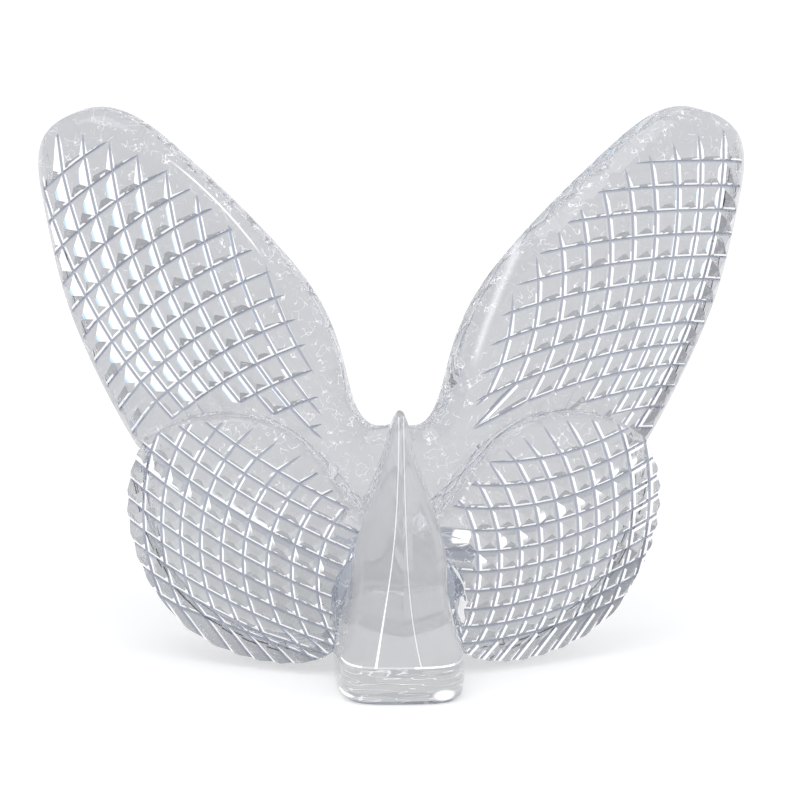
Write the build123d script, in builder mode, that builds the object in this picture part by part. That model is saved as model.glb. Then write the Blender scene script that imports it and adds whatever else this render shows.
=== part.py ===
from build123d import *
from math import cos, degrees, radians, sin, sqrt, tan
import os

# Clear pressed glass butterfly: a tapered body on a rounded foot, two forewings
# and two hindwings, each wing front covered with crossing rows of V cuts.
# Millimetres, +Z up, origin at the centre of the foot's flat base, front at -Y.

# Wings as a whole
wing_sweep = 18                # degrees that each wing turns back from the body
wing_lean = 5                  # degrees that each wing leans back
wing_setback = 7.5             # from the foot's front edge to the wing plane

# Forewing
forewing_reach = 35.7          # from the middle of the body to the outer edge
forewing_top = 49.4            # up the wing, from the table to the tip
forewing_thickness = 5.4
forewing_bevel = 1.05          # of its free edges, front and back
swell_radius = 70.0            # its front is a shallow ring-shaped swell
swell_ring = 17.0              # radius at which that swell stands highest
forewing_cut_depth = 0.95

# Hindwing, which stands proud of the forewing
hindwing_reach = 25.35
hindwing_top = 23.1
hindwing_rise = 2.6            # of its crease in front of the forewing
hindwing_lip_bevel = 0.6       # along the front of its upper edge
hindwing_back_bevel = 1.8
hindwing_cut_depth = 0.9
crease_angle = 24.4            # degrees that the crease climbs outward
crease_fall_above = 6.4        # degrees that the front falls back above the crease
crease_fall_below = 2.2        # degrees below it
web_drop = 3.2                 # from the crease back to the web beside the body

# V cuts
cut_pitch = 2.2
cut_half_angle = 52.5
cut_overrun = 0.2              # of a cutter above the glass
forewing_cut_length = 38.0
hindwing_cut_length = 28.0

# Body and foot
body_height = 24.15
foot_height = 3.4
foot_width = 11.7
foot_length = 21.0

# Outlines going round each wing, as shares of its reach and its top
forewing_shares = [(-0.02, 0.474), (0.045, 0.461), (0.108, 0.449), (0.208, 0.582), (0.373, 0.763),
                   (0.645, 0.931), (0.87, 1.0), (0.983, 0.952), (0.979, 0.824), (0.908, 0.639),
                   (0.785, 0.457), (0.6, 0.28)]
forewing_root_shares = [(0.3, 0.22), (-0.02, 0.22)]
lip_shares = [(-0.02, 0.52), (0.21, 0.73), (0.443, 0.958), (0.69, 0.997), (0.845, 0.95), (0.948, 0.872)]
hindwing_shares = [(0.948, 0.872), (1.0, 0.64), (0.948, 0.386), (0.794, 0.158), (0.584, 0.052), (0.398, 0.032),
                   (0.26, 0.066)]
inner_shares = [(0.26, 0.066), (0.22, 0.16), (0.237, 0.31), (0.19, 0.46), (-0.02, 0.52)]
web_shares = [(-0.02, 0.52), (0.3, 0.52), (0.3, 0.1), (-0.02, 0.1)]
ring_share = (1.02, 0.395)     # middle of the forewing's swell
crease_share = (0.23, 0.433)   # inner end of the hindwing's crease
body_widest_share = 0.38       # of the way from the body's front to its back
back_fullness_share = 0.72     # how square its sections turn at the back

# Sections of the foot and of the body above it: height, half width, front,
# back, set-back of the flanks beside the ridge, and how square they turn in
# front, as shares of the body's own sizes
foot_shares = [(0.0, 0.93, 0.94, 0.94, 0.0, 0.95), (0.12, 0.985, 0.985, 0.985, 0.0, 0.95),
               (0.5, 1.0, 1.0, 1.0, 0.0, 0.95), (1.0, 0.98, 0.98, 0.97, 0.02, 0.93)]
body_shares = [(0.0, 0.98, 0.98, 0.97, 0.02, 0.93), (0.12, 0.84, 0.83, 0.82, 0.08, 0.82),
               (0.3, 0.755, 0.7, 0.7, 0.2, 0.72), (0.49, 0.66, 0.57, 0.6, 0.25, 0.72),
               (0.65, 0.46, 0.4, 0.53, 0.3, 0.72), (0.82, 0.24, 0.2, 0.42, 0.3, 0.72),
               (1.0, 0.06, 0.02, 0.14, 0.3, 0.72)]

# Rows of cuts. Sizes in shares of the pitch, angles in degrees: count, middle
# along the row, place across with its step and the step's change, heading and
# its change, bend and its change from each cut to the next.
forewing_right_shares = [
    ("up", 10, 14.55, (13.88, -0.731, -0.023), (20.0, -1.4), (-0.048, -0.009)),
    ("across", 13, 10.0, (20.57, -1.094, 0.012), (-0.2, 0.7), (-0.019, -0.0024)),
]
forewing_left_shares = [
    ("up", 10, 15.0, (14.06, -0.895, -0.019), (29.5, -0.66), (-0.046, -0.0035)),
    ("across", 14, 9.55, (23.46, -1.239, -0.007), (-24.9, -1.7), (-0.044, -0.001)),
]
hindwing_right_shares = [
    ("up", 10, 4.55, (10.86, -0.711, -0.014), (12.8, -1.4), (-0.095, -0.008)),
    ("across", 10, 6.36, (8.81, -1.002, 0.021), (3.7, 0.6), (0.08, -0.003)),
]
hindwing_left_shares = [
    ("up", 10, 4.55, (10.67, -0.671, -0.03), (12.2, -2.2), (-0.107, -0.0128)),
    ("across", 11, 6.36, (9.02, -0.98, 0.019), (28.8, -1.0), (0.035, 0.0)),
]

root_y = wing_setback - foot_length / 2


# The wing's own plane: x across the ornament, y up the wing, z out of its front.
def wing_plane(side, level=0):
    outward = Vector(side * cos(radians(wing_sweep)), sin(radians(wing_sweep)), 0)
    upright = Vector(0, sin(radians(wing_lean)), cos(radians(wing_lean)))
    front = outward.cross(upright) * side
    return Plane(origin=(0, root_y, 0), x_dir=outward * side, z_dir=front).offset(level)


# Points of an outline on one wing.
def wing_points(side, shares, reach, top):
    return [(side * across * reach, up * top) for across, up in shares]


# The arcs, on the wing plane, that one row of cuts follows.
def row_arcs(side, row, length):
    kind, count, middle, places, headings, bends = row
    arcs = []
    for k in range(count):
        place = (places[0] + places[1] * k + places[2] * k * k) * cut_pitch
        angle = radians(headings[0] + headings[1] * k)
        radius = cut_pitch / (bends[0] + bends[1] * k)
        spot = (place, middle * cut_pitch)
        centre = (place + radius * cos(angle), middle * cut_pitch - radius * sin(angle))
        if kind == "across":
            centre, spot = centre[::-1], spot[::-1]
        centre = Vector(side * centre[0], centre[1])
        arm = Vector(side * spot[0], spot[1]) - centre
        half = degrees(length / 2 / arm.length)
        ends = [centre + arm.rotate(Axis.Z, turn) for turn in (-half, 0, half)]
        arcs.append(Edge.make_three_point_arc(*ends))
    return arcs


# A V cutter that runs straight from each crossing with the other rows to the next.
def v_cutter(plane, arc, others, depth):
    crossings = [spot for other in others for spot in arc.find_intersection_points(other)]
    stops = [arc @ 0, *sorted(crossings, key=arc.param_at_point), arc @ 1]
    with BuildLine() as path:
        Polyline(*[plane.from_local_coords(stop) for stop in stops])
    height = depth + cut_overrun
    spread = height * tan(radians(cut_half_angle))
    with BuildSketch(Plane(path.line @ 0, x_dir=plane.z_dir, z_dir=path.line % 0)) as profile:
        with BuildLine():
            Polyline((0, 0), (height, spread), (height, -spread), close=True)
        make_face()
    return sweep(profile.sketch, path=path.line, transition=Transition.RIGHT, mode=Mode.PRIVATE)


# The cutters of a wing's two rows, with their lowest lines on the plane given.
def wing_cutters(plane, side, rows, length, depth):
    up_arcs, across_arcs = [row_arcs(side, row, length) for row in rows]
    up_cutters = [v_cutter(plane, arc, across_arcs, depth) for arc in up_arcs]
    across_cutters = [v_cutter(plane, arc, up_arcs, depth) for arc in across_arcs]
    return up_cutters, across_cutters


# A pointed oval across the body, with a ridge at its front and its back.
def body_section(height, section_shares):
    width, front, back, flank, front_fullness = section_shares
    seat = root_y + height * tan(radians(wing_lean))
    half = width * foot_width / 2
    nose = seat - front * wing_setback
    tail = seat + back * (foot_length - wing_setback)
    side_y = nose + (tail - nose) * body_widest_share
    turn_y = nose + (side_y - nose) * (1 - front_fullness)
    fall = flank * half
    with BuildSketch(Plane.XY.offset(height)) as section:
        with BuildLine():
            Bezier((0, nose), (half * front_fullness, nose + fall), (half, turn_y), (half, side_y))
            Bezier((half, side_y), (half, (tail + side_y) / 2), (half * back_fullness_share, tail - fall), (0, tail))
            mirror(about=Plane.YZ)
        make_face()
    return section.sketch


# Body: a rounded foot, and a column that narrows to the pointed head
column_height = body_height - foot_height
with BuildPart() as body:
    loft([body_section(share * foot_height, shares) for share, *shares in foot_shares], ruled=True)
    loft([body_section(foot_height + share * column_height, shares) for share, *shares in body_shares])

os.makedirs("parts", exist_ok=True)
body.part.label = "body"
export_step(body.part, "parts/body.step")

# Front of a forewing: an arc, from the middle of its ring outward
swell_end = forewing_reach * 1.2
swell_fall_in = swell_radius - sqrt(swell_radius ** 2 - swell_ring ** 2)
swell_fall_out = swell_radius - sqrt(swell_radius ** 2 - (swell_end - swell_ring) ** 2)

for side, name, fore_rows, hind_rows in (
    (1, "right", forewing_right_shares, hindwing_right_shares),
    (-1, "left", forewing_left_shares, hindwing_left_shares),
):
    own_half = Keep.TOP if side > 0 else Keep.BOTTOM
    front = wing_plane(side)
    back = wing_plane(side, -forewing_thickness)

    # Hindwing: a plate whose front falls away on both sides of the crease, and
    # a thinner web that joins it to the body
    across, up = wing_points(side, [crease_share], hindwing_reach, hindwing_top)[0]
    crease = front.location * Pos(across, up, hindwing_rise) * Rot(0, 0, side * crease_angle)
    with BuildPart() as hindwing:
        with BuildSketch(back):
            with BuildLine():
                lip = Spline(*wing_points(side, lip_shares, hindwing_reach, hindwing_top))
                free = Spline(*wing_points(side, hindwing_shares, hindwing_reach, hindwing_top))
                Spline(*wing_points(side, inner_shares, hindwing_reach, hindwing_top))
            make_face()
        extrude(amount=forewing_thickness + hindwing_rise)
        free_middle = back.from_local_coords(free @ 0.5)
        chamfer(hindwing.edges().sort_by_distance(free_middle)[0], hindwing_back_bevel)
        split(bisect_by=Plane(crease * Rot(-crease_fall_above, 0, 0)), keep=Keep.BOTTOM)
        split(bisect_by=Plane(crease * Rot(crease_fall_below, 0, 0)), keep=Keep.BOTTOM)
        lip_middle = wing_plane(side, hindwing_rise).from_local_coords(lip @ 0.5)
        chamfer(hindwing.edges().sort_by_distance(lip_middle)[0], hindwing_lip_bevel)
        blank = hindwing.part
        with BuildSketch(back):
            with BuildLine():
                Polyline(*wing_points(side, web_shares, hindwing_reach, hindwing_top), close=True)
            make_face()
        extrude(amount=forewing_thickness + hindwing_rise - web_drop)
        split(bisect_by=Plane.YZ, keep=own_half)
        add(body.part, mode=Mode.SUBTRACT)
        comb = wing_plane(side, hindwing_rise - hindwing_cut_depth)
        for cutters in wing_cutters(comb, side, hind_rows, hindwing_cut_length, hindwing_cut_depth):
            add(cutters, mode=Mode.SUBTRACT)

    # Forewing: a plate with bevelled edges and a swelled front, let in behind the
    # lip of the hindwing
    with BuildPart() as forewing:
        with BuildSketch(back):
            with BuildLine():
                rim = Spline(*wing_points(side, forewing_shares, forewing_reach, forewing_top))
                inner = wing_points(side, forewing_root_shares, forewing_reach, forewing_top)
                Polyline(rim @ 1, *inner, rim @ 0)
            make_face()
        extrude(amount=forewing_thickness)
        across, up = wing_points(side, [ring_share], forewing_reach, forewing_top)[0]
        middle = front.from_local_coords((across, up))
        inward = front.x_dir * -side
        with BuildSketch(Plane(middle, x_dir=inward, z_dir=inward.cross(front.z_dir))):
            with BuildLine():
                swell = ThreePointArc((0, -swell_fall_in), (swell_ring, 0), (swell_end, -swell_fall_out))
                Polyline(swell @ 1, (swell_end, cut_overrun), (0, cut_overrun), swell @ 0)
            make_face()
        revolve(axis=Axis(middle, front.z_dir), mode=Mode.SUBTRACT)
        chamfer(forewing.edges().filter_by(lambda edge: edge.length > forewing_reach), forewing_bevel)
        split(bisect_by=Plane.YZ, keep=own_half)
        add(blank, mode=Mode.SUBTRACT)
        add(body.part, mode=Mode.SUBTRACT)
        comb = wing_plane(side, -forewing_cut_depth)
        for cutters in wing_cutters(comb, side, fore_rows, forewing_cut_length, forewing_cut_depth):
            add(cutters, mode=Mode.SUBTRACT)

    hindwing.part.label = "hindwing_" + name
    export_step(hindwing.part, "parts/hindwing_" + name + ".step")
    forewing.part.label = "forewing_" + name
    export_step(forewing.part, "parts/forewing_" + name + ".step")
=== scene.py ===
import math

import bmesh
import bpy
from mathutils import Matrix, Vector
from mathutils.bvhtree import BVHTree


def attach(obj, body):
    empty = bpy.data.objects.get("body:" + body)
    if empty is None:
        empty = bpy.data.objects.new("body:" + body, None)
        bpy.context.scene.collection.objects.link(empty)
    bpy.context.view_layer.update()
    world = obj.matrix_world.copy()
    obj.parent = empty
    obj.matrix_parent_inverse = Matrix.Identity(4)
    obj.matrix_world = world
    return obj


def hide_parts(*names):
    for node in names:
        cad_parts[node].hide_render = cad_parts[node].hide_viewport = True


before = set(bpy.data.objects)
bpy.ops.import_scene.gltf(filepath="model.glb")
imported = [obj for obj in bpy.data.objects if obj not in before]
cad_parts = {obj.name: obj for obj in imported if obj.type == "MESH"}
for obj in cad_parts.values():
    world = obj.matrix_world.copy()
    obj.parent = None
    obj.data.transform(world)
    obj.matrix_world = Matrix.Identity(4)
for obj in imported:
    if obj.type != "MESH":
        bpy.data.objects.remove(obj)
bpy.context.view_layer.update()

# Clear pressed glass butterfly. The real one is a single casting, so the five
# CAD nodes are joined here into one skin, with no glass wall left between them.

scene = bpy.context.scene
mm = 0.001

# How the nodes are joined
joining = {
    "weld": 0.0001 * mm,      # loose corners closer than this are one corner
    "touch": 0.03 * mm,       # a face this near its neighbour lies on a seam
    "backSnap": 0.004 * mm,   # a corner this near the flat back is on it
    "push": 0.4 * mm,         # how far a seam goes into its neighbour
    "flat": math.radians(0.05),
}


# A CAD node's mesh, copied and with its corners joined
def nodeCopy(name):
    mesh = bmesh.new()
    mesh.from_mesh(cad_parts[name].data)
    bmesh.ops.remove_doubles(mesh, verts=mesh.verts, dist=joining["weld"])
    return mesh


# Turns a wing so that its flat back faces straight down
def wingTurn(mesh):
    back = max(mesh.faces, key=lambda face: face.calc_area())
    return back.normal.rotation_difference(Vector((0, 0, -1))).to_matrix().to_4x4()


# Sets the corners of a turned wing's back exactly level
def levelBack(mesh, level):
    for corner in mesh.verts:
        if abs(corner.co.z - level) < joining["backSnap"]:
            corner.co.z = level


# Pushes the seam of a turned wing into its neighbour, along the wing's plane
def pushSeam(mesh, neighbour):
    tree = BVHTree.FromBMesh(neighbour)

    def touches(spot):
        return tree.find_nearest(spot, joining["touch"])[0] is not None

    touching = {corner for corner in mesh.verts if touches(corner.co)}
    pushes = {}
    for face in mesh.faces:
        if touching.issuperset(face.verts) and touches(face.calc_center_median()):
            for corner in face.verts:
                pushes[corner] = pushes.get(corner, Vector()) + face.normal * face.calc_area()
    for corner, push in pushes.items():
        push.z = 0
        corner.co += push.normalized() * joining["push"]
    print("seam corners", len(pushes))


# The union of two closed meshes
def union(first, second):
    solids = []
    for mesh in (first, second):
        solid = bpy.data.objects.new("solid", bpy.data.meshes.new("solid"))
        mesh.to_mesh(solid.data)
        scene.collection.objects.link(solid)
        solids.append(solid)
    join = solids[0].modifiers.new("join", "BOOLEAN")
    join.operation = "UNION"
    join.solver = "MANIFOLD"
    join.object = solids[1]
    bpy.context.view_layer.update()
    view = bpy.context.evaluated_depsgraph_get()
    result = bmesh.new()
    result.from_mesh(solids[0].evaluated_get(view).data)
    for solid in solids:
        bpy.data.objects.remove(solid)
    first.free()
    second.free()
    return result


def openEdges(mesh):
    return sum(not edge.is_manifold for edge in mesh.edges)


crystal = nodeCopy("body")
bodySkin = BVHTree.FromBMesh(crystal)
turns = {}
backs = {}
for side in ("left", "right"):
    forewing = nodeCopy("forewing_" + side)
    hindwing = nodeCopy("hindwing_" + side)
    turn = wingTurn(hindwing)
    turns[side] = turn.to_3x3()
    for mesh in (forewing, hindwing):
        mesh.transform(turn)
        mesh.normal_update()
    backs[side] = min(corner.co.z for corner in hindwing.verts)
    levelBack(forewing, backs[side])
    levelBack(hindwing, backs[side])
    pushSeam(forewing, hindwing)
    wing = union(forewing, hindwing)
    print("wing", side, len(wing.faces), "open", openEdges(wing))
    crystal.transform(turn)
    crystal.normal_update()
    wing.normal_update()
    pushSeam(wing, crystal)
    crystal = union(crystal, wing)
    crystal.transform(turn.inverted())
    crystal.normal_update()
    print("crystal", len(crystal.faces), "open", openEdges(crystal))

bmesh.ops.dissolve_limit(crystal, angle_limit=joining["flat"],
                         verts=crystal.verts, edges=crystal.edges)
print("cleaned", len(crystal.faces), "open", openEdges(crystal))
print("volume", crystal.calc_volume() / mm ** 3, "cubic millimetres")

# The walls of the cuts
cuts = {
    "wallLevel": math.cos(math.radians(37.5)),   # of a wall's normal on the wing's own
    "wallSlack": 0.008,
    "grooves": (4.45 * mm, 7.1 * mm),            # of fore and hind wing, above the flat back
    "leaning": 0.4,                              # of a wall's normal, to the side it faces
    "upright": 0.2,                              # a right wall leans upwards less than this
}
# Outer rows of the forewings, in millimetres; their edge is a parabola
outerRows = {"reach": 32.3, "height": 47, "fall": 0.0115, "floor": 24,
             "width": {"left": 17, "right": 7}}
# The webs beside the body and the steep walls round them, in millimetres
besideBody = {"webReach": 6.8, "innerReach": 8.2, "top": 14}
facing = {"web": -0.3, "inner": 0.7, "bodyFront": -0.15}     # of a face's normal
crispness = {"cuts": math.radians(4), "body": math.radians(14), "wings": math.radians(62)}
skinReach = 0.02 * mm         # a face this near the body's skin is the body's


def wingSide(face):
    return "right" if face.calc_center_median().x > 0 else "left"


def kindOf(face):
    if bodySkin.find_nearest(face.calc_center_median(), skinReach)[0] is not None:
        return "body"
    level = (turns[wingSide(face)] @ face.normal).z
    return "cuts" if abs(level - cuts["wallLevel"]) < cuts["wallSlack"] else "wings"


# How far a face lies towards the outer edge of its forewing, where walls get a painted white
# highlight
def outerShare(face):
    spot = face.calc_center_median() / mm
    outerEdge = outerRows["reach"] - outerRows["fall"] * (outerRows["height"] - spot.z) ** 2
    inward = outerEdge - abs(spot.x)
    share = 1 - inward / outerRows["width"][wingSide(face)]
    return min(1, max(0, share)) if spot.z > outerRows["floor"] else 0


# The recessed webs beside the body
def isWeb(face):
    spot = face.calc_center_median() / mm
    beside = abs(spot.x) < besideBody["webReach"] and spot.z < besideBody["top"]
    return beside and face.normal.y < facing["web"]


# The hindwings' steep walls round the webs
def isInner(face):
    spot = face.calc_center_median() / mm
    beside = abs(spot.x) < besideBody["innerReach"] and spot.z < besideBody["top"]
    return beside and face.normal.x * spot.x < 0 and abs(face.normal.x) > facing["inner"]


# What each corner of a face carries to the material
kinds = {face: kindOf(face) for face in crystal.faces}
layers = {name: crystal.loops.layers.float.new(name) for name in (
    "grooveHeight", "cellHeight", "leftWall", "lowWall", "rightWall", "flash", "plainSkin",
    "bodyFront", "web", "inner", "hindwing")}
for face, kind in kinds.items():
    face.smooth = True
    turn = turns[wingSide(face)]
    spots = [turn @ corner.vert.co for corner in face.loops]
    heights = [spot.z - backs[wingSide(face)] for spot in spots]
    reached = [level for level in cuts["grooves"] if level < max(heights)]
    groove = max(reached, default=cuts["grooves"][0])
    low, high = min(spot.y for spot in spots), max(spot.y for spot in spots)
    lean = turn @ face.normal
    isCut = kind == "cuts"
    whole = {
        "leftWall": isCut and lean.x < -cuts["leaning"],
        "lowWall": isCut and lean.y < -cuts["leaning"],
        "rightWall": isCut and lean.x > cuts["leaning"] and lean.y < cuts["upright"],
        "flash": outerShare(face) if isCut and lean.x > cuts["leaning"] else 0,
        "plainSkin": kind == "wings",
        "bodyFront": kind == "body" and face.normal.y < facing["bodyFront"],
        "web": kind == "wings" and isWeb(face),
        "inner": kind == "wings" and isInner(face),
        "hindwing": isCut and groove == cuts["grooves"][1],
    }
    for corner, spot, height in zip(face.loops, spots, heights):
        corner[layers["grooveHeight"]] = (height - groove) / mm if isCut else 1
        corner[layers["cellHeight"]] = (spot.y - low) / max(high - low, joining["weld"])
        for name, value in whole.items():
            corner[layers[name]] = value
for edge in crystal.edges:
    limit = min(crispness[kinds[face]] for face in edge.link_faces)
    edge.smooth = edge.calc_face_angle() < limit
print("cut walls", sum(kind == "cuts" for kind in kinds.values()))

butterfly = bpy.data.objects.new("crystalButterfly", bpy.data.meshes.new("crystalButterfly"))
crystal.to_mesh(butterfly.data)
crystal.free()
scene.collection.objects.link(butterfly)
weights = butterfly.modifiers.new("faceWeights", "WEIGHTED_NORMAL")
weights.keep_sharp = True
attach(butterfly, "root")
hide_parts("body", "forewing_left", "forewing_right", "hindwing_left", "hindwing_right")
print("joined", len(butterfly.data.polygons))

# Finish of the glass, with the colours and strengths of its painted highlights and shade
glass = {
    "tint": (0.56, 0.567, 0.585, 1),
    "bodyTint": (0.64, 0.647, 0.66, 1),
    # the colour of all the painted shade
    "shadeColour": (0.24, 0.27, 0.34, 1),
    "grooveShade": (0.28, 0.31, 0.4, 1),   # painted shade along the bottoms of the cuts
    "lineHeights": (0.06, 0.13),          # where it ends and the tint begins, in millimetres
    "white": (1, 1, 1, 1),
    "fringe": (0.5, 0.7, 1, 1),
    "bending": 1.52,          # index of refraction
    "roughness": 0.0,
    "waveSize": 220,          # of the pressed skin, in waves per metre
    "waveHeight": 0.02 * mm,
    "softEdge": 0.05 * mm,    # of the painted lights
    "frost": 0.7,             # how much they scatter
    "sparkle": 0.4,           # light that they add
    "bodyHaze": 0.4,
    "bounces": 3.5,           # past this many, light counts as trapped
    "trappedGlow": 0.5,
}

material = bpy.data.materials.new("clearCrystal")
material.use_nodes = True
nodes = material.node_tree.nodes
links = material.node_tree.links
shader = nodes["Principled BSDF"]
shader.inputs["Base Color"].default_value = glass["tint"]     # plain values under the nodes
shader.inputs["Transmission Weight"].default_value = 1
shader.inputs["IOR"].default_value = glass["bending"]
shader.inputs["Roughness"].default_value = glass["roughness"]


def newNode(kind, **settings):
    node = nodes.new(kind)
    for name, value in settings.items():
        setattr(node, name, value)
    return node


# Gives a socket its value, which is another socket or a constant
def feed(socket, value):
    if isinstance(value, bpy.types.NodeSocket):
        links.new(value, socket)
    else:
        socket.default_value = value


def number(operation, *values, **settings):
    node = newNode("ShaderNodeMath", operation=operation, **settings)
    for socket, value in zip(node.inputs, values):
        feed(socket, value)
    return node.outputs["Value"]


def product(*values):
    result = values[0]
    for value in values[1:]:
        result = number("MULTIPLY", result, value)
    return result


def largest(*values):
    result = values[0]
    for value in values[1:]:
        result = number("MAXIMUM", result, value)
    return result


# How far a value is from another
def gap(value, other):
    return number("ABSOLUTE", number("SUBTRACT", value, other))


# 1 between two values
def band(value, low, high):
    return product(number("GREATER_THAN", value, low), number("LESS_THAN", value, high))


# 1 nearer than a width, with a soft edge
def near(off, width, edge=glass["softEdge"]):
    return number("DIVIDE", number("SUBTRACT", width, off), edge, use_clamp=True)


def attribute(name):
    return newNode("ShaderNodeAttribute", attribute_name=name).outputs["Fac"]


def mixed(factor, first, second):
    node = newNode("ShaderNodeMix", data_type="RGBA")
    for socket, value in (("Factor", factor), ("A", first), ("B", second)):
        feed(node.inputs[socket], value)
    return node.outputs["Result"]


def vector(*values):
    node = newNode("ShaderNodeCombineXYZ")
    for socket, value in zip(node.inputs, values):
        feed(socket, value)
    return node.outputs["Vector"]


def noise(scale, detail=1, where=None):
    node = newNode("ShaderNodeTexNoise")
    node.inputs["Scale"].default_value = scale
    node.inputs["Detail"].default_value = detail
    links.new(where or onObject, node.inputs["Vector"])
    return node.outputs["Fac"]


onObject = newNode("ShaderNodeTexCoord").outputs["Object"]
axes = newNode("ShaderNodeSeparateXYZ")
links.new(onObject, axes.inputs["Vector"])
across, upward = axes.outputs["X"], axes.outputs["Z"]


# How far a point lies from a middle, seen from the front
def frontDistance(middle, widths=(1, 1)):
    node = newNode("ShaderNodeVectorMath", operation="LENGTH")
    sides = [number("DIVIDE", number("SUBTRACT", value, centre), width)
             for value, centre, width in zip((across, upward), middle, widths)]
    links.new(vector(*sides, 0), node.inputs[0])
    return node.outputs["Value"]


# An oval patch of light
def oval(patch):
    away = frontDistance(patch["middle"], patch["widths"])
    return number("MULTIPLY", number("SUBTRACT", 1, away), patch["hardness"], use_clamp=True)


cutHeight = attribute("grooveHeight")
leftWall = attribute("leftWall")
bodyFront = attribute("bodyFront")

# Painted highlights: pale lines inside each cell of the cuts, down its left side, in dashes
# along its foot, and up the lower part of its right side
cellHighlights = {"heights": (0.1, 0.24), "dashSize": 1150, "dashLevel": 0.46, "rightTop": 0.42}
dashes = number("GREATER_THAN", noise(cellHighlights["dashSize"]), cellHighlights["dashLevel"])
lower = number("LESS_THAN", attribute("cellHeight"), cellHighlights["rightTop"])
cellSides = largest(leftWall, product(attribute("lowWall"), dashes),
                    product(attribute("rightWall"), lower))
glints = product(band(cutHeight, *cellHighlights["heights"]), cellSides)

# Painted highlights: walls towards the outer edges of the forewings flash white, with a blue
# fringe
wallFlashes = {"least": 0.02, "foot": 0.1, "rise": 0.7, "fringe": 0.8}
flash = attribute("flash")
flashTop = number("MULTIPLY_ADD", flash, wallFlashes["rise"], wallFlashes["foot"])
isFlash = number("GREATER_THAN", flash, wallFlashes["least"])
flashes = product(isFlash, band(cutHeight, wallFlashes["foot"], flashTop))
fringeFoot = product(flashTop, wallFlashes["fringe"])
fringe = product(flashes, number("GREATER_THAN", cutHeight, fringeFoot))

# Painted highlights: fine bright curls in the uncut margins
curling = {"size": 1150, "detail": 1.5, "level": 0.5, "width": 0.01,
           "patchSize": 805, "patchLevel": 0.53, "strength": 0.7}
curl = number("COMPARE", noise(curling["size"], curling["detail"]),
              curling["level"], curling["width"])
patchy = number("GREATER_THAN", noise(curling["patchSize"]), curling["patchLevel"])
curls = product(curl, patchy, attribute("plainSkin"), curling["strength"])

# Painted highlights: two bright lines that spread down the front of the body
bodyLines = {
    "top": 24.2 * mm,
    "foot": 3.4 * mm,
    "offset": 0.22 * mm,
    "width": 0.05 * mm,
    "widening": 4,            # power of the fall at which they widen
    "left": {"sign": 1, "bend": 2, "spread": 3.2 * mm, "growth": 0.16 * mm,
             "strength": 1},
    "right": {"sign": -1, "bend": 4, "spread": 2.4 * mm, "growth": 0.03 * mm,
              "strength": 0.75},
}
fall = number("SUBTRACT", 1, number("DIVIDE", upward, bodyLines["top"]), use_clamp=True)
spreading = []
for line in (bodyLines["left"], bodyLines["right"]):
    bend = number("POWER", fall, line["bend"])
    offset = number("MULTIPLY_ADD", bend, line["spread"], bodyLines["offset"])
    off = number("ABSOLUTE", number("MULTIPLY_ADD", offset, line["sign"], across))
    widening = number("POWER", fall, bodyLines["widening"])
    width = number("MULTIPLY_ADD", widening, line["growth"], bodyLines["width"])
    spreading.append(product(near(off, width), line["strength"]))
above = band(upward, bodyLines["foot"], bodyLines["top"])
below = number("LESS_THAN", upward, bodyLines["foot"])

# A line across the foot with two glints, streaks below it and two patches of light
footLights = {
    "line": 3.45 * mm,
    "lineWidth": 0.1 * mm,
    "lineStrength": 0.3,
    "glintStrength": 0.7,
    "glints": ((-5.7 * mm, -3.8 * mm), (0.9 * mm, 4.6 * mm)),
    "flatness": 9,            # of the streaks
    "streaks": {"size": 260, "level": 0.5, "width": 0.011, "strength": 0.6},
    "shadows": {"size": 170, "level": 0.52, "strength": 0.45},
    "patches": (
        {"middle": (3.6 * mm, 0.85 * mm), "widths": (1.15 * mm, 0.6 * mm), "hardness": 3},
        {"middle": (-5.2 * mm, 0.65 * mm), "widths": (0.9 * mm, 0.22 * mm), "hardness": 3},
    ),
    "footShadeTop": 0.4 * mm,      # of the band of painted shade at the bottom
}
footGlints = largest(*(band(across, *glint) for glint in footLights["glints"]))
brightness = number("MULTIPLY_ADD", footGlints,
                    footLights["glintStrength"], footLights["lineStrength"])
footLine = product(near(gap(upward, footLights["line"]), footLights["lineWidth"]), brightness)
flattened = vector(across, axes.outputs["Y"], product(upward, footLights["flatness"]))
streak, shadow = footLights["streaks"], footLights["shadows"]
streaks = number("COMPARE", noise(streak["size"], where=flattened),
                 streak["level"], streak["width"])
streaks = product(streaks, below, streak["strength"])
shadows = number("GREATER_THAN", noise(shadow["size"], where=flattened), shadow["level"])
shadows = product(shadows, below, bodyFront, shadow["strength"])
patches = [oval(patch) for patch in footLights["patches"]]
lines = product(above, largest(*spreading))
bodyLights = product(bodyFront, largest(lines, footLine, streaks, *patches))

# Long soft lights inside the forewings' leading edges, each an arc round a middle
wingLights = (
    {"middle": (-42.6 * mm, 14.1 * mm), "radius": 38.2 * mm, "height": 41.4 * mm,
     "reach": 4.4 * mm, "width": 0.09 * mm, "edge": 0.05 * mm, "end": 2 * mm, "strength": 0.9},
    {"middle": (44.9 * mm, 17.4 * mm), "radius": 39.5 * mm, "height": 33.2 * mm,
     "reach": 6 * mm, "width": 0.45 * mm, "edge": 0.4 * mm, "end": 2 * mm, "strength": 0.5},
)
arcs = []
for light in wingLights:
    off = gap(frontDistance(light["middle"]), light["radius"])
    along = near(gap(upward, light["height"]), light["reach"], light["end"])
    arcs.append(product(near(off, light["width"], light["edge"]), along, light["strength"]))
arcs = product(attribute("plainSkin"), largest(*arcs))

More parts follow.
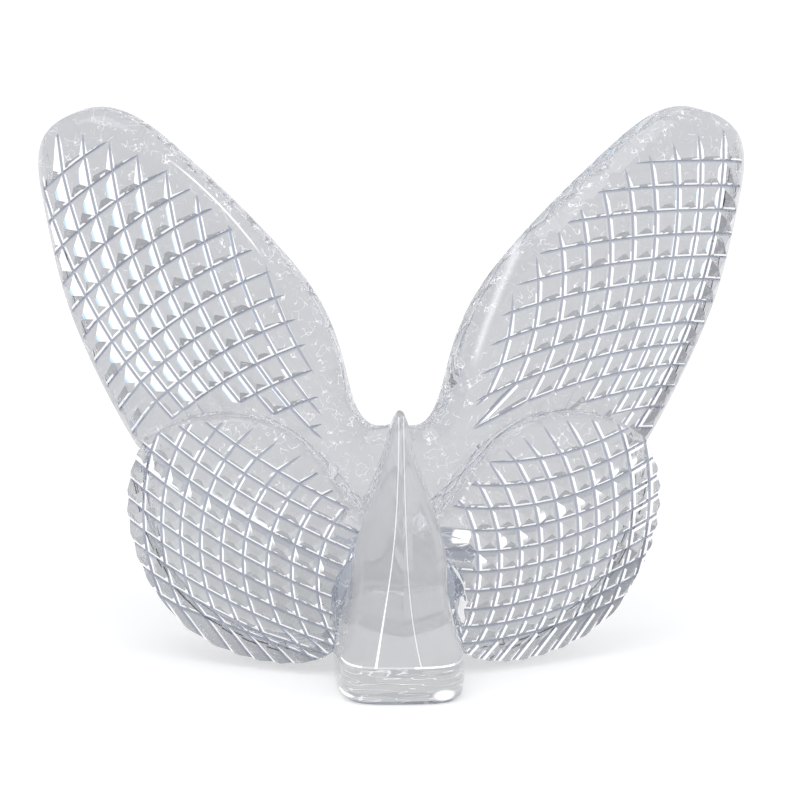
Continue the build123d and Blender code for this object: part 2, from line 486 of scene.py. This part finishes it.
# Crescents of light in a darker row of cells along the crease of the hindwings
crease = {"climb": 0.477, "height": 7.4 * mm, "reach": 1.0 * mm, "edge": 0.4 * mm,
          "crescent": (0.24, 0.52), "shadeTop": 0.34, "shade": 0.55}
climb = number("MULTIPLY_ADD", number("ABSOLUTE", across), crease["climb"], crease["height"])
creased = product(near(gap(upward, climb), crease["reach"], crease["edge"]), attribute("hindwing"))
crescents = product(creased, leftWall, band(cutHeight, *crease["crescent"]))
creaseShade = product(creased, number("LESS_THAN", cutHeight, crease["shadeTop"]), crease["shade"])

# Beside the body: lit on the right and dark on the left, with a patch of light
webLights = {
    "speckSize": 575,
    "speckLevel": 0.53,
    "shade": 0.8,
    "spark": {"middle": (5.6 * mm, 13.1 * mm), "widths": (1.1 * mm, 1.0 * mm), "hardness": 4},
}
web = attribute("web")
inner = attribute("inner")
isRight = number("GREATER_THAN", across, 0)
specks = number("GREATER_THAN", noise(webLights["speckSize"]), webLights["speckLevel"])
innerLight = product(inner, isRight, specks)
innerShade = product(inner, number("SUBTRACT", 1, isRight), webLights["shade"])
spark = product(largest(inner, web), oval(webLights["spark"]))

# All the painted highlights, which turn white, scatter and glow
highlightMask = largest(glints, flashes, curls, bodyLights, arcs, innerLight, spark, crescents)
# Painted shade: a dark band along the bottom of the body's front
footShade = product(bodyFront, number("LESS_THAN", upward, footLights["footShadeTop"]))
# Painted shade: the recessed webs beside the body, the left inner walls, blotches on the foot, the
# band at its bottom and the crease row
dark = largest(web, innerShade, shadows, footShade, creaseShade)

# Painted shade: the cuts turn darker towards their groove bottoms and fade into the tint above
ramp = newNode("ShaderNodeValToRGB")
ends = zip(ramp.color_ramp.elements, glass["lineHeights"], (glass["grooveShade"], glass["tint"]))
for end, position, tone in ends:
    end.position = position
    end.color = tone
links.new(cutHeight, ramp.inputs["Fac"])
colour = mixed(bodyFront, ramp.outputs["Color"], glass["bodyTint"])
colour = mixed(dark, colour, glass["shadeColour"])
colour = mixed(highlightMask, colour, mixed(fringe, glass["white"], glass["fringe"]))
links.new(colour, shader.inputs["Base Color"])
clear = number("MULTIPLY_ADD", highlightMask, -glass["frost"], 1)
hazy = product(bodyFront, above)
clear = number("MULTIPLY_ADD", hazy, -glass["bodyHaze"], clear, use_clamp=True)
links.new(clear, shader.inputs["Transmission Weight"])

# Painted light: where light has been caught inside for long, the glass glows a soft grey of its
# own, and the painted highlights glow as well
depth = newNode("ShaderNodeLightPath").outputs["Glossy Depth"]
trapped = number("GREATER_THAN", depth, glass["bounces"])
ownLight = largest(product(trapped, glass["trappedGlow"]), product(highlightMask, glass["sparkle"]))
links.new(ownLight, shader.inputs["Emission Strength"])
links.new(colour, shader.inputs["Emission Color"])

skin = newNode("ShaderNodeBump")
skin.inputs["Distance"].default_value = glass["waveHeight"]
links.new(noise(glass["waveSize"]), skin.inputs["Height"])
links.new(skin.outputs["Normal"], shader.inputs["Normal"])
butterfly.data.materials.append(material)
print("glass", len(nodes), "nodes")

# Camera: the photograph's place, with a slight roll, in millimetres and degrees
camera = {
    "aim": (0, -3.0, 26.42),
    "distance": 473.5,
    "azimuth": -5,
    "elevation": 18,
    "roll": 1.2,
    "field": 71.47,           # width of the picture at the aim
    "offset": 0.313,          # of the aim from the picture's middle
    "sensor": 36,
    "clip": 0.01,             # in metres
}


def photoCamera(size):
    turn = math.radians(size["azimuth"])
    rise = math.radians(size["elevation"])
    roll = math.radians(size["roll"])
    back = Vector((math.sin(turn) * math.cos(rise), -math.cos(turn) * math.cos(rise),
                   math.sin(rise)))
    right = Vector((math.cos(turn), math.sin(turn), 0))
    up = back.cross(right)
    right, up = (right * math.cos(roll) + up * math.sin(roll),
                 up * math.cos(roll) - right * math.sin(roll))
    eye = Vector(size["aim"]) + back * size["distance"] - right * size["offset"]
    lens = bpy.data.cameras.new("photoCamera")
    lens.sensor_width = size["sensor"]
    lens.lens = size["sensor"] * size["distance"] / size["field"]
    lens.clip_start = size["clip"]
    holder = bpy.data.objects.new("photoCamera", lens)
    heading = Matrix((right, up, back)).transposed().to_4x4()
    holder.matrix_world = Matrix.Translation(eye * mm) @ heading
    scene.collection.objects.link(holder)
    return holder


scene.camera = photoCamera(camera)
print("camera", camera["distance"], "mm away")

# Studio: white table, plain soft world, softboxes
studio = {
    "floorSize": 6.0,         # metres
    "floorColour": (0.6, 0.6, 0.6, 1),
    "floorRoughness": 1,
    "floorGloss": 0,
    "glowColour": (1, 1, 1, 1),
    "floorGlow": 0.5,         # adds to the floor's white, never to the light
    "worldLeft": (0.58, 0.59, 0.62, 1),
    "worldRight": (0.85, 0.86, 0.88, 1),
    "worldFade": (-0.6, 0.6),    # where it begins and ends, from left to right
}
softboxes = {
    "softboxTop": {"place": (-0.15, -0.1, 0.75), "size": 0.5, "power": 1.2, "reflected": True},
    "softboxLeft": {"place": (-0.6, -0.25, 0.35), "size": 0.2, "power": 0.8, "reflected": False},
    "softboxRight": {"place": (0.6, -0.2, 0.3), "size": 0.2, "power": 0.8, "reflected": False},
}

sheet = bmesh.new()
bmesh.ops.create_grid(sheet, x_segments=1, y_segments=1, size=studio["floorSize"] / 2)
floor = bpy.data.objects.new("floor", bpy.data.meshes.new("floor"))
sheet.to_mesh(floor.data)
sheet.free()
scene.collection.objects.link(floor)


# 1 for rays that show the background: camera, glossy and transmission rays
def seenRays(tree):
    rays = tree.nodes.new("ShaderNodeLightPath")
    either = tree.nodes.new("ShaderNodeMath")
    either.operation = "MAXIMUM"
    tree.links.new(rays.outputs["Is Glossy Ray"], either.inputs[0])
    tree.links.new(rays.outputs["Is Transmission Ray"], either.inputs[1])
    seen = tree.nodes.new("ShaderNodeMath")
    seen.operation = "MAXIMUM"
    tree.links.new(rays.outputs["Is Camera Ray"], seen.inputs[0])
    tree.links.new(either.outputs["Value"], seen.inputs[1])
    return seen.outputs["Value"]


paper = bpy.data.materials.new("paper")
paper.use_nodes = True
paperTree = paper.node_tree
paperShader = paperTree.nodes["Principled BSDF"]
paperShader.inputs["Base Color"].default_value = studio["floorColour"]
paperShader.inputs["Roughness"].default_value = studio["floorRoughness"]
paperShader.inputs["Specular IOR Level"].default_value = studio["floorGloss"]
paperShader.inputs["Emission Color"].default_value = studio["glowColour"]
floorGlow = paperTree.nodes.new("ShaderNodeMath")
floorGlow.operation = "MULTIPLY"
floorGlow.inputs[1].default_value = studio["floorGlow"]
paperTree.links.new(seenRays(paperTree), floorGlow.inputs[0])
paperTree.links.new(floorGlow.outputs["Value"], paperShader.inputs["Emission Strength"])
floor.data.materials.append(paper)

world = bpy.data.worlds.new("studio")
scene.world = world
world.use_nodes = True
worldTree = world.node_tree
air = worldTree.nodes["Background"]
direction = worldTree.nodes.new("ShaderNodeTexCoord")
split = worldTree.nodes.new("ShaderNodeSeparateXYZ")
sideways = worldTree.nodes.new("ShaderNodeMapRange")
sideways.inputs["From Min"].default_value = studio["worldFade"][0]
sideways.inputs["From Max"].default_value = studio["worldFade"][1]
sideways.interpolation_type = "SMOOTHSTEP"
worldColour = worldTree.nodes.new("ShaderNodeMix")
worldColour.data_type = "RGBA"
worldColour.inputs["A"].default_value = studio["worldLeft"]
worldColour.inputs["B"].default_value = studio["worldRight"]
worldTree.links.new(direction.outputs["Generated"], split.inputs["Vector"])
worldTree.links.new(split.outputs["X"], sideways.inputs["Value"])
worldTree.links.new(sideways.outputs["Result"], worldColour.inputs["Factor"])
worldTree.links.new(worldColour.outputs["Result"], air.inputs["Color"])

for name, box in softboxes.items():
    lamp = bpy.data.lights.new(name, "AREA")
    lamp.shape = "SQUARE"
    lamp.size = box["size"]
    lamp.energy = box["power"]
    holder = bpy.data.objects.new(name, lamp)
    holder.location = box["place"]
    aim = Vector(camera["aim"]) * mm - Vector(box["place"])
    holder.rotation_mode = "QUATERNION"
    holder.rotation_quaternion = aim.to_track_quat("-Z", "Y")
    holder.visible_transmission = False          # no lamp shows through the glass
    holder.visible_glossy = box["reflected"]
    scene.collection.objects.link(holder)
print("studio")

scene.view_settings.view_transform = "Standard"
